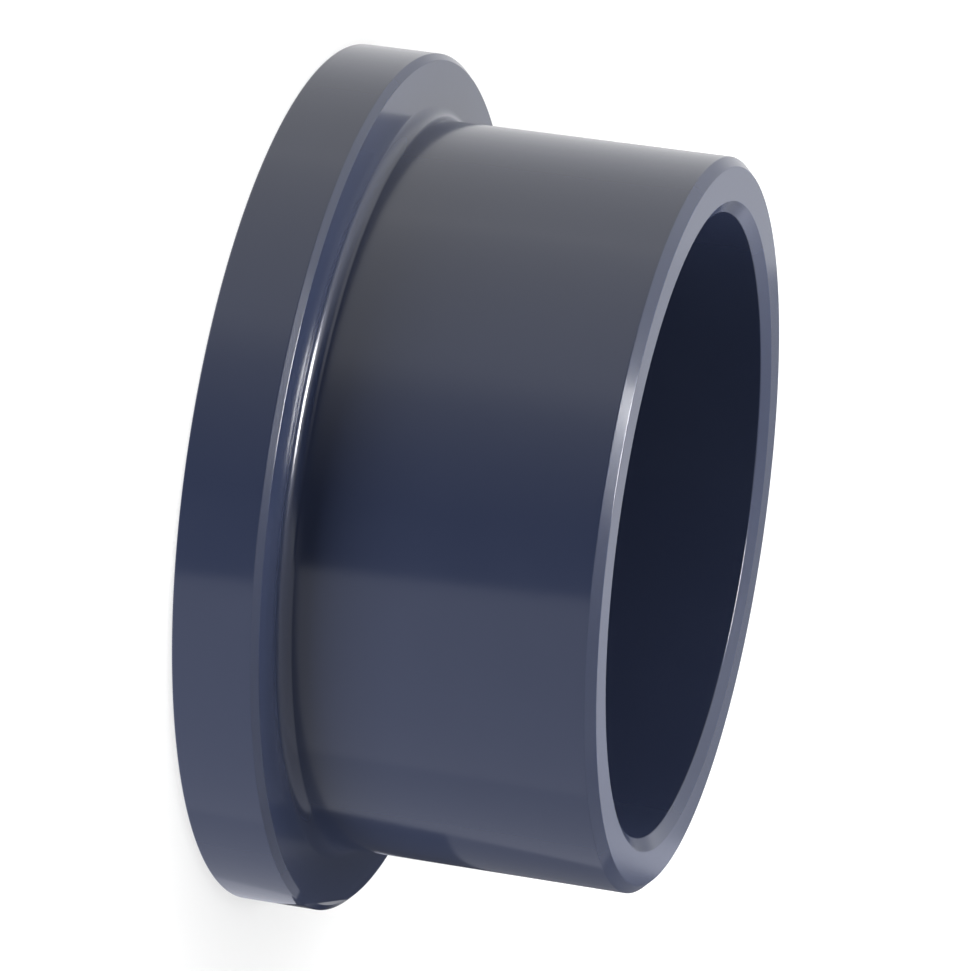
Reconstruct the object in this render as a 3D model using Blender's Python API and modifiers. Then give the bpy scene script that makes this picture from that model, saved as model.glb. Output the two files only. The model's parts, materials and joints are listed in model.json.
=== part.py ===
"""A socket stub end for a lap joint, in moulded PVC-U, for 90 mm pipe (DN 80).

One moulded piece: a collar that a loose backing ring pushes against a gasket, and a socket that a pipe
is solvent-welded into. It stands on its sealing face. Z runs along the pipe, from the sealing face at
z = 0 up to the socket's open mouth. Lengths are in metres.
"""

import math

import bmesh
import bpy

# The pipe, and the socket that takes it
PIPE_DIAMETER = 0.0900
SOCKET_DEPTH = 0.0510
MOUTH_CLEARANCE = 0.0002  # the mouth's diameter is this much over the pipe's
ROOT_INTERFERENCE = 0.0001  # the socket's root is this much under it, so the pipe bites before it bottoms
LEAD_IN_WIDTH = 0.0018  # the sloping edge inside the mouth that guides the pipe in
LEAD_IN_DEPTH = 0.0012

# The wall round the socket's mouth, which makes the body 106.2 mm across
SOCKET_WALL = 0.0080
MOUTH_CHAMFER = 0.0013

# The collar, 125 mm across, and the fillet that joins it to the body
BACKING_SEAT_WIDTH = 0.0094  # how far the collar stands out from the body, to carry the backing ring
COLLAR_THICKNESS = 0.0122
COLLAR_CHAMFER = 0.0009
SEALING_EDGE_RADIUS = 0.0003
SHOULDER_FILLET_RADIUS = 0.0020

# The stop that the pipe's end meets, and the waterway through it to the sealing face
PIPE_STOP_WIDTH = 0.0050
STOP_HEIGHT = 0.0060  # from the sealing face
WATERWAY_EDGE_RADIUS = 0.0006
STOP_FILLET_RADIUS = 0.0008

# How finely the turned shape is divided
STEPS_ROUND = 96
DEGREES_PER_ARC_STEP = 22.5

# An edge or a fillet may take up this much of the shorter flat beside it
MOST_OF_A_FLAT = 0.45

PVC_DARK_GREY = (0.028, 0.037, 0.071, 1.0)


def clear_scene():
    for thing in list(bpy.data.objects):
        bpy.data.objects.remove(thing, do_unlink=True)


def limited(wanted, *flats):
    """The size of an edge: as wanted, or less where a flat beside it is too short for that."""
    return min(wanted, MOST_OF_A_FLAT * min(flats))


def arc(centre, radius, start, end):
    """Points (r, z) on an arc about centre, from the start angle to the end angle in degrees, both included."""
    steps = math.ceil(abs(end - start) / DEGREES_PER_ARC_STEP)
    angles = [math.radians(start + (end - start) * step / steps) for step in range(steps + 1)]
    return [(centre[0] + radius * math.cos(a), centre[1] + radius * math.sin(a)) for a in angles]


def stub_end_profile():
    """The wall's outline (r, z), down the outside from the mouth to the sealing face and back up the inside."""
    mouth = (PIPE_DIAMETER + MOUTH_CLEARANCE) / 2
    root = (PIPE_DIAMETER - ROOT_INTERFERENCE) / 2
    waterway = root - PIPE_STOP_WIDTH
    body = mouth + SOCKET_WALL
    collar = body + BACKING_SEAT_WIDTH
    stop = STOP_HEIGHT
    seat = COLLAR_THICKNESS
    top = STOP_HEIGHT + SOCKET_DEPTH

    mouth_chamfer = limited(MOUTH_CHAMFER, SOCKET_WALL, top - seat)
    lead_in_width = limited(LEAD_IN_WIDTH, SOCKET_WALL)
    lead_in_depth = limited(LEAD_IN_DEPTH, SOCKET_DEPTH)
    shoulder = limited(SHOULDER_FILLET_RADIUS, BACKING_SEAT_WIDTH, top - seat)
    collar_chamfer = limited(COLLAR_CHAMFER, BACKING_SEAT_WIDTH, COLLAR_THICKNESS)
    sealing_edge = limited(SEALING_EDGE_RADIUS, BACKING_SEAT_WIDTH, COLLAR_THICKNESS)
    waterway_edge = limited(WATERWAY_EDGE_RADIUS, PIPE_STOP_WIDTH, STOP_HEIGHT)
    stop_fillet = limited(STOP_FILLET_RADIUS, PIPE_STOP_WIDTH, SOCKET_DEPTH)

    outside = [
        (body - mouth_chamfer, top),
        (body, top - mouth_chamfer),
        *arc((body + shoulder, seat + shoulder), shoulder, 180, 270),
        (collar - collar_chamfer, seat),
        (collar, seat - collar_chamfer),
        *arc((collar - sealing_edge, sealing_edge), sealing_edge, 0, -90),
    ]
    inside = [
        *arc((waterway + waterway_edge, waterway_edge), waterway_edge, -90, -180),
        *arc((waterway + waterway_edge, stop - waterway_edge), waterway_edge, 180, 90),
        *arc((root - stop_fillet, stop + stop_fillet), stop_fillet, -90, 0),
        (mouth, top - lead_in_depth),
        (mouth + lead_in_width, top),
    ]
    return outside + inside


def turned(name, profile, collection):
    """An object whose closed profile (r, z) is swept once round Z by a Screw modifier."""
    mesh = bpy.data.meshes.new(name)
    outline = bmesh.new()
    points = [outline.verts.new((r, 0.0, z)) for r, z in profile]
    for point, following in zip(points, points[1:] + points[:1]):
        outline.edges.new((point, following))
    outline.to_mesh(mesh)
    outline.free()

    piece = bpy.data.objects.new(name, mesh)
    collection.objects.link(piece)
    sweep = piece.modifiers.new("Turn", "SCREW")
    sweep.axis = "Z"
    sweep.angle = math.tau
    sweep.screw_offset = 0.0
    sweep.steps = STEPS_ROUND
    sweep.render_steps = STEPS_ROUND
    sweep.use_merge_vertices = True
    sweep.merge_threshold = 0.00001
    sweep.use_smooth_shade = True
    flats = piece.modifiers.new("Keep flats flat", "WEIGHTED_NORMAL")
    flats.keep_sharp = True
    return piece


def moulded_pvc():
    """Dark blue-grey PVC-U as it leaves a polished mould."""
    material = bpy.data.materials.new("pvc_u_dark_grey")
    material.use_nodes = True
    shader = material.node_tree.nodes["Principled BSDF"]
    shader.inputs["Base Color"].default_value = PVC_DARK_GREY
    shader.inputs["Roughness"].default_value = 0.25
    shader.inputs["Metallic"].default_value = 0.0
    shader.inputs["IOR"].default_value = 1.54
    material.diffuse_color = PVC_DARK_GREY
    return material


clear_scene()
parts = bpy.data.collections.new("Lap joint stub end")
bpy.context.scene.collection.children.link(parts)
stub_end = turned("stub_end", stub_end_profile(), parts)
stub_end.data.materials.append(moulded_pvc())
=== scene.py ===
import json
import math

import bmesh
import bpy
from mathutils import Matrix, Vector


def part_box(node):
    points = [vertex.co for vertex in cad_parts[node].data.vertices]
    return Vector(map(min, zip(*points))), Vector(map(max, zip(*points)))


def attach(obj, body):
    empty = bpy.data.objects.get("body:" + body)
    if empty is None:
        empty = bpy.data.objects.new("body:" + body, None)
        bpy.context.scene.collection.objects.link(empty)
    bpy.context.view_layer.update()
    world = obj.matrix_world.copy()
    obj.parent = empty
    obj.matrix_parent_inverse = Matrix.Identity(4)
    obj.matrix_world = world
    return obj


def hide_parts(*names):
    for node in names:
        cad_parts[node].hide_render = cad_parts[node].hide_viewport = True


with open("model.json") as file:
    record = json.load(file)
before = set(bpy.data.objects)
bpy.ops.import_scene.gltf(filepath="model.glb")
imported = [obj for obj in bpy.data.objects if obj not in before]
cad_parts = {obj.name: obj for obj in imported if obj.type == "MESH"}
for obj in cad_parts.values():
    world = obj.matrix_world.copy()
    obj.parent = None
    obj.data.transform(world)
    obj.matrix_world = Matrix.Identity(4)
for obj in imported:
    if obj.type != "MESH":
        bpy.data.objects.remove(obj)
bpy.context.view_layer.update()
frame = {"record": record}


# The stub end
#
# One injection moulding in dark blue-grey PVC-U: a collar for the loose backing ring, and a socket that takes
# 90 mm pipe. It is drawn as one turned wall, with every edge rounded as the mould rounds it, and it stands in
# for the plainer solid of the CAD.

MM = 0.001


def record_height(mount):
    """The height of one of the record's flat faces above the sealing face."""
    return next(m["pos_m"][2] for m in frame["record"]["mounts"] if m["name"] == mount)


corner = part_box("stub_end")[1]
collar_radius = corner.x
top = corner.z
seat = record_height("backing_ring_seat")
stop = record_height("pipe_stop")
mouth_radius = 45.10 * MM
root_radius = 44.95 * MM
body_radius = 53.10 * MM
waterway_radius = 39.95 * MM

mouth_chamfer = 1.3 * MM
lead_in_width = 1.8 * MM
lead_in_depth = 1.2 * MM
shoulder_fillet = 2.0 * MM
collar_chamfer = 0.9 * MM
sealing_edge = 0.3 * MM
waterway_edge = 0.6 * MM
stop_fillet = 0.8 * MM
moulded_corner = 0.25 * MM

DEGREES_PER_STEP = 7.5
STEPS_ROUND = 384


def rounded(corners):
    """The points (r, z) of a closed outline whose corners (r, z, radius) are turned into arcs of their radius."""
    points = []
    for i, (r, z, radius) in enumerate(corners):
        corner = Vector((r, z))
        back = (Vector(corners[i - 1][:2]) - corner).normalized()
        ahead = (Vector(corners[(i + 1) % len(corners)][:2]) - corner).normalized()
        half = back.angle(ahead) / 2
        centre = corner + (back + ahead).normalized() * radius / math.sin(half)
        start = corner + back * radius / math.tan(half) - centre
        sweep = start.angle_signed(corner + ahead * radius / math.tan(half) - centre)
        steps = max(2, round(abs(math.degrees(sweep)) / DEGREES_PER_STEP))
        for step in range(steps + 1):
            points.append(centre + Matrix.Rotation(-sweep * step / steps, 2) @ start)
    return points


outline = rounded(
    [
        (body_radius - mouth_chamfer, top, moulded_corner),
        (body_radius, top - mouth_chamfer, moulded_corner),
        (body_radius, seat, shoulder_fillet),
        (collar_radius - collar_chamfer, seat, moulded_corner),
        (collar_radius, seat - collar_chamfer, moulded_corner),
        (collar_radius, 0.0, sealing_edge),
        (waterway_radius, 0.0, waterway_edge),
        (waterway_radius, stop, waterway_edge),
        (root_radius, stop, stop_fillet),
        (mouth_radius, top - lead_in_depth, moulded_corner),
        (mouth_radius + lead_in_width, top, moulded_corner),
    ]
)

wall = bmesh.new()
rings = []
for step in range(STEPS_ROUND):
    turn = math.tau * step / STEPS_ROUND
    rings.append([wall.verts.new((r * math.cos(turn), r * math.sin(turn), z)) for r, z in outline])
for here, there in zip(rings, rings[1:] + rings[:1]):
    for i in range(len(outline)):
        j = (i + 1) % len(outline)
        wall.faces.new((here[i], here[j], there[j], there[i])).smooth = True
wall.normal_update()
mesh = bpy.data.meshes.new("moulded_stub_end")
wall.to_mesh(mesh)
wall.free()
stub_end = bpy.data.objects.new("moulded_stub_end", mesh)
bpy.context.scene.collection.objects.link(stub_end)
stub_end.modifiers.new("Keep flats flat", "WEIGHTED_NORMAL").keep_sharp = True


def linear(hex_colour):
    """A #rrggbb sRGB colour as linear RGBA."""
    shares = [int(hex_colour[i : i + 2], 16) / 255 for i in (1, 3, 5)]
    return (*(s / 12.92 if s <= 0.04045 else ((s + 0.055) / 1.055) ** 2.4 for s in shares), 1.0)


def add(owner, kind, settings=(), links=()):
    """Adds a node to a material or world: settings are its own values or its inputs', links {input: socket}.

    An input goes by its name, or by its number where several share a name, as in Mix and Math nodes."""
    node = owner.node_tree.nodes.new(kind)
    for name, value in dict(settings).items():
        if isinstance(name, str) and hasattr(node, name):
            setattr(node, name, value)
        else:
            node.inputs[name].default_value = value
    for name, socket in dict(links).items():
        owner.node_tree.links.new(socket, node.inputs[name])
    return node


# PVC-U from a polished steel mould: a hard, smooth skin with an even, slightly soft gloss. Its colour and gloss
# cloud a little over 17 mm, and the skin waves by a few microns over 2 mm, which softens its reflections. Both end
# faces are taken to be trimmed flat in a lathe: duller, with fine turned lines 0.15 mm apart, drawn twice as coarse.
CLOUD = 17 * MM
CLOUD_DARK = "#2D344A"
CLOUD_LIGHT = "#31384E"
SKIN_WAVE = 2 * MM
SKIN_WAVE_DEPTH = 0.006 * MM
MOULDED_ROUGHNESS = (0.13, 0.19)
TRIMMED_WITHIN = 0.02 * MM
TRIMMED_ROUGHNESS = 0.26
TURNED_LINE = 0.3 * MM
TURNED_LINE_DEPTH = 0.002 * MM
PVC_U_IOR = 1.54

moulded_pvc_u = bpy.data.materials.new("moulded_pvc_u")
moulded_pvc_u.use_nodes = True
moulded_pvc_u.node_tree.nodes.clear()
place = add(moulded_pvc_u, "ShaderNodeTexCoord").outputs["Object"]
along = add(moulded_pvc_u, "ShaderNodeSeparateXYZ", {}, {"Vector": place}).outputs["Z"]
across = add(moulded_pvc_u, "ShaderNodeVectorMath", {"operation": "MULTIPLY", 1: (1, 1, 0)}, {0: place})
radius = add(moulded_pvc_u, "ShaderNodeVectorMath", {"operation": "LENGTH"}, {0: across.outputs["Vector"]})
from_middle = add(moulded_pvc_u, "ShaderNodeMath", {"operation": "SUBTRACT", 1: top / 2}, {0: along})
either_way = add(moulded_pvc_u, "ShaderNodeMath", {"operation": "ABSOLUTE"}, {0: from_middle.outputs[0]})
trimmed = add(
    moulded_pvc_u,
    "ShaderNodeMath",
    {"operation": "GREATER_THAN", 1: top / 2 - TRIMMED_WITHIN},
    {0: either_way.outputs[0]},
).outputs[0]

cloud = add(moulded_pvc_u, "ShaderNodeTexNoise", {"Scale": 1 / CLOUD, "Detail": 3.0}, {"Vector": place})
tone = add(
    moulded_pvc_u,
    "ShaderNodeMix",
    {"data_type": "RGBA", 6: linear(CLOUD_DARK), 7: linear(CLOUD_LIGHT)},
    {0: cloud.outputs["Fac"]},
)
moulded_gloss = add(
    moulded_pvc_u,
    "ShaderNodeMapRange",
    {"To Min": MOULDED_ROUGHNESS[0], "To Max": MOULDED_ROUGHNESS[1]},
    {"Value": cloud.outputs["Fac"]},
)
gloss = add(
    moulded_pvc_u,
    "ShaderNodeMix",
    {"data_type": "FLOAT", 3: TRIMMED_ROUGHNESS},
    {0: trimmed, 2: moulded_gloss.outputs["Result"]},
)
skin_wave = add(moulded_pvc_u, "ShaderNodeTexNoise", {"Scale": 1 / SKIN_WAVE, "Detail": 1.0}, {"Vector": place})
turned_lines = add(
    moulded_pvc_u,
    "ShaderNodeTexNoise",
    {"noise_dimensions": "1D", "Scale": 1 / TURNED_LINE, "Detail": 1.0},
    {"W": radius.outputs["Value"]},
)
moulded_skin = add(
    moulded_pvc_u,
    "ShaderNodeBump",
    {"Strength": 1.0, "Distance": SKIN_WAVE_DEPTH},
    {"Height": skin_wave.outputs["Fac"]},
)
turned_grooves = add(
    moulded_pvc_u,
    "ShaderNodeMath",
    {"operation": "MULTIPLY"},
    {0: turned_lines.outputs["Fac"], 1: trimmed},
)
grain = add(
    moulded_pvc_u,
    "ShaderNodeBump",
    {"Strength": 1.0, "Distance": TURNED_LINE_DEPTH},
    {"Height": turned_grooves.outputs[0], "Normal": moulded_skin.outputs["Normal"]},
)
skin = add(
    moulded_pvc_u,
    "ShaderNodeBsdfPrincipled",
    {"IOR": PVC_U_IOR, "Metallic": 0.0},
    {"Base Color": tone.outputs[2], "Roughness": gloss.outputs[0], "Normal": grain.outputs["Normal"]},
)
add(moulded_pvc_u, "ShaderNodeOutputMaterial", {}, {"Surface": skin.outputs["BSDF"]})
mesh.materials.append(moulded_pvc_u)

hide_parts("stub_end")
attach(stub_end, "root")


# The floor
#
# A pale studio table that the part stands on. It glows white like the backdrop, but less just round the part, so
# that the part's soft shadow shows on it.

floor_mesh = bpy.data.meshes.new("floor")
REACH = 2.0  # of the table, each way from the part
floor_mesh.from_pydata(
    [(-REACH, -REACH, 0), (REACH, -REACH, 0), (REACH, REACH, 0), (-REACH, REACH, 0)], [], [(0, 1, 2, 3)]
)
floor = bpy.data.objects.new("floor", floor_mesh)
bpy.context.scene.collection.objects.link(floor)
floor.visible_glossy = False
floor.visible_diffuse = False
floor.visible_shadow = False
pale_table = bpy.data.materials.new("pale_table")
pale_table.use_nodes = True
pale_table.node_tree.nodes.clear()
paper = add(pale_table, "ShaderNodeBsdfDiffuse", {"Color": linear("#959595")})
GLOW_BY_PART = 0.70
DIMMED_TO = 90 * MM
FULL_FROM = 250 * MM
on_table = add(pale_table, "ShaderNodeTexCoord").outputs["Object"]
from_part = add(pale_table, "ShaderNodeVectorMath", {"operation": "LENGTH"}, {0: on_table}).outputs["Value"]
table_glow = add(
    pale_table,
    "ShaderNodeMapRange",
    {"interpolation_type": "SMOOTHSTEP", "From Min": DIMMED_TO, "From Max": FULL_FROM, "To Min": GLOW_BY_PART},
    {"Value": from_part},
)
lightbox = add(pale_table, "ShaderNodeEmission", {}, {"Strength": table_glow.outputs["Result"]})
both = add(pale_table, "ShaderNodeAddShader", {}, {0: lightbox.outputs[0], 1: paper.outputs[0]})
add(pale_table, "ShaderNodeOutputMaterial", {}, {"Surface": both.outputs[0]})
floor_mesh.materials.append(pale_table)


# The light
#
# A studio that is white above and behind the part, and dark on the camera's side, where the room is unlit. In the
# picture the part leans on a pale board, and a softbox over the socket's mouth draws the bright line along the
# collar's fillet. Bearings run round the part in degrees: 0 is up in the picture, 90 the camera, 180 down and 270
# the backdrop. A brightness of 1 is white.

studio = bpy.data.worlds.new("studio")
bpy.context.scene.world = studio
studio.use_nodes = True
studio.node_tree.nodes.clear()
BRIGHTEST = 2.0  # a ramp's colour ends at 1, so the ramps hold shares of this


def grey(brightness):
    """A grey of the studio, as a share of its brightest wall."""
    return (brightness / BRIGHTEST,) * 3 + (1.0,)


def round_the_part(stops, bearing):
    """A ramp of brightness round the part, from its (bearing, brightness) stops."""
    node = add(studio, "ShaderNodeValToRGB", {}, {"Fac": bearing})
    elements = list(node.color_ramp.elements) + [node.color_ramp.elements.new(0.5) for _ in stops[2:]]
    for element, (degrees, brightness) in zip(elements, stops):
        element.position = degrees / 360
        element.color = grey(brightness)
    return node.outputs["Color"]


direction = add(studio, "ShaderNodeTexCoord").outputs["Generated"]
bearing = add(studio, "ShaderNodeTexGradient", {"gradient_type": "RADIAL"}, {"Vector": direction}).outputs["Fac"]
height = add(studio, "ShaderNodeSeparateXYZ", {}, {"Vector": direction}).outputs["Z"]
# from up in the picture the walls fade into the dark room, which ends at the backdrop
LIT_WALLS = [(0, 1.5), (38, 1.75), (52, 1.0), (64, 0.5), (80, 0.18)]
DARK_ROOM = [(96, 0), (254, 0)]
BACKDROP = [(270, 0.9), (325, 1.1), (360, 1.5)]
walls = round_the_part(LIT_WALLS + DARK_ROOM + BACKDROP, bearing)

# the ceiling is dark only over the camera
DARK_CEILING = [(55, 0), (100, 0)]
CEILING_DOWN = [(125, 1.9), (225, 1.9)]
CEILING_BACK = [(255, 0.95), (300, 0.8), (325, 1.5), (360, 1.6)]
ceiling = round_the_part([(0, 1.6), (30, 1.2)] + DARK_CEILING + CEILING_DOWN + CEILING_BACK, bearing)

WALL_TOP = math.radians(4)
CEILING_FOOT = math.radians(12)
above_walls = add(
    studio,
    "ShaderNodeMapRange",
    {"interpolation_type": "SMOOTHSTEP", "From Min": math.sin(WALL_TOP), "From Max": math.sin(CEILING_FOOT)},
    {"Value": height},
).outputs["Result"]
room = add(studio, "ShaderNodeMix", {"data_type": "RGBA"}, {0: above_walls, 6: walls, 7: ceiling}).outputs[2]
rays = add(studio, "ShaderNodeLightPath")
FILL = 0.2  # the soft light that the whole studio gives
filled = add(
    studio,
    "ShaderNodeMix",
    {"data_type": "RGBA", 7: grey(FILL)},
    {0: rays.outputs["Is Diffuse Ray"], 6: room},
).outputs[2]
WHITE = 1.0
backdrop = add(
    studio,
    "ShaderNodeMix",
    {"data_type": "RGBA", 7: grey(WHITE)},
    {0: rays.outputs["Is Camera Ray"], 6: filled},
).outputs[2]
glow = add(studio, "ShaderNodeBackground", {"Strength": BRIGHTEST}, {"Color": backdrop})
add(studio, "ShaderNodeOutputWorld", {}, {"Surface": glow.outputs["Background"]})


def card(name, corners, brightness, colour="#FFFFFF", stops_light=False):
    """A flat studio card that shows only as a reflection. One that stops light also shades the part."""
    card_mesh = bpy.data.meshes.new(name)
    card_mesh.from_pydata(corners, [], [(0, 1, 2, 3)])
    made = bpy.data.objects.new(name, card_mesh)
    bpy.context.scene.collection.objects.link(made)
    made.visible_camera = False
    made.visible_diffuse = stops_light
    made.visible_shadow = stops_light
    paint = bpy.data.materials.new(name)
    paint.use_nodes = True
    paint.node_tree.nodes.clear()
    emission = add(paint, "ShaderNodeEmission", {"Color": linear(colour), "Strength": brightness})
    add(paint, "ShaderNodeOutputMaterial", {}, {"Surface": emission.outputs["Emission"]})
    card_mesh.materials.append(paint)


# the pale board that the part leans on with its collar and its mouth, with the part's shadow on it painted as darker
# patches close by
lean = (collar_radius - body_radius) / top
OFF_BOARD = 0.6 * MM
BOARD_WHITE = "#F2F4FF"


def on_board(name, across, along, brightness):
    """A patch of the board: where it lies across the part's axis, camera's side first, and along it from z = 0."""
    (front, back), (low, high) = across, along
    corners = ((front, low), (front, high), (back, high), (back, low))
    card(name, [(collar_radius + OFF_BOARD - lean * z, y, z) for y, z in corners], brightness, BOARD_WHITE)


# the dimmer patches beside, behind and under the part are painted shadow of the part on the board, darkest next to
# the collar
on_board("board_front", (-0.147, -0.035), (-0.5, 0.4), 0.72)
on_board("board_beside", (-0.035, -0.015), (-0.5, 0.4), 0.55)
on_board("board_left", (-0.015, 0.8), (-0.5, 0.010), 0.75)
on_board("board_shaded", (-0.015, 0.150), (0.010, 0.030), 0.06)
on_board("board_behind", (0.150, 0.8), (0.010, 0.030), 0.5)
on_board("board_shade_under_body", (-0.015, 0.040), (0.030, 0.4), 0.22)
on_board("board_shaded_behind", (0.040, 0.8), (0.030, 0.042), 0.1)
on_board("board_right", (0.040, 0.8), (0.042, 0.4), 0.9)

# a dark flag close behind the mouth, which keeps the far side of its rim darker than the near side
FLAG_BEHIND = 0.090
FLAG_ACROSS = (-0.042, 0.050)
FLAG_UP = (0.058, 0.077)
flag_corners = [(FLAG_ACROSS[i], FLAG_BEHIND, FLAG_UP[j]) for i, j in ((0, 0), (1, 0), (1, 1), (0, 1))]
card("dark_flag", flag_corners, 0.3)

# and a dark cover under the waterway, so that no light comes up through it
cover = waterway_radius + 4 * MM
card(
    "dark_cover",
    [(x * cover, y * cover, -0.5 * MM) for x, y in ((-1, -1), (1, -1), (1, 1), (-1, 1))],
    0.0,
    stops_light=True,
)


def softbox(name, place, towards, size, radiance):
    """A rectangular lamp with an evenly bright face, facing towards a point."""
    light = bpy.data.lights.new(name, "AREA")
    light.shape = "RECTANGLE"
    light.size, light.size_y = size
    light.energy = radiance * math.pi * size[0] * size[1]
    made = bpy.data.objects.new(name, light)
    bpy.context.scene.collection.objects.link(made)
    made.location = place
    made.rotation_euler = (Vector(place) - Vector(towards)).to_track_quat("Z", "Y").to_euler()
    made.visible_camera = False
    return made


# the softbox over the mouth: its face, brightest along the middle, is only reflected, and the lamp only lights
OVERHEAD = 0.49
SOFTBOX_NEAR = -0.10
SOFTBOX_FAR = 0.02
for name, (left, right), over, brightness in (
    ("softbox_middle", (-0.17, -0.02), OVERHEAD, 60.0),
    ("softbox_face", (-0.21, 0.09), OVERHEAD + 0.01, 16.0),
):
    face = ((left, SOFTBOX_NEAR), (right, SOFTBOX_NEAR), (right, SOFTBOX_FAR), (left, SOFTBOX_FAR))
    card(name, [(x, y, over) for x, y in face], brightness)
over_mouth = softbox("over_mouth", (-0.095, -0.04, OVERHEAD), (-0.095, -0.04, 0.0), (0.30, 0.12), 22.0)
over_mouth.visible_glossy = False

# a weaker one towards the camera, and the light from the camera's side and below, which isn't reflected
softbox("front_softbox", (-0.15, -0.20, OVERHEAD), (-0.15, -0.20, 0.0), (0.40, 0.20), 1.2)
key = softbox("key", (0.352, -0.502, -0.514), (0.0, 0.0, 0.03), (0.5, 0.5), 10.0)
key.visible_glossy = False


# The camera
#
# It looks at the part from the side and a little above, turned on its side, so that the socket's mouth points right.

ELEVATION = math.radians(14.21)
ROLL = math.radians(98.17)
DISTANCE = 827 * MM
LENS = 212.98
aimed_at = Vector((0.0, 0.0, 28 * MM))
off_centre = Vector((1.80 * MM, -1.91 * MM, 0.0))  # of that point, right and up in the picture

turned_to_part = Matrix.Rotation(math.pi / 2 - ELEVATION, 4, "X") @ Matrix.Rotation(ROLL, 4, "Z")
camera_data = bpy.data.cameras.new("camera")
camera_data.lens = LENS
camera_data.sensor_fit = "HORIZONTAL"
camera_data.sensor_width = 36.0
camera = bpy.data.objects.new("camera", camera_data)
bpy.context.scene.collection.objects.link(camera)
backward = turned_to_part.to_3x3() @ Vector((0.0, 0.0, DISTANCE))
camera.matrix_world = Matrix.Translation(aimed_at + backward - turned_to_part.to_3x3() @ off_centre) @ turned_to_part
bpy.context.scene.camera = camera

bpy.context.scene.view_settings.view_transform = "Standard"
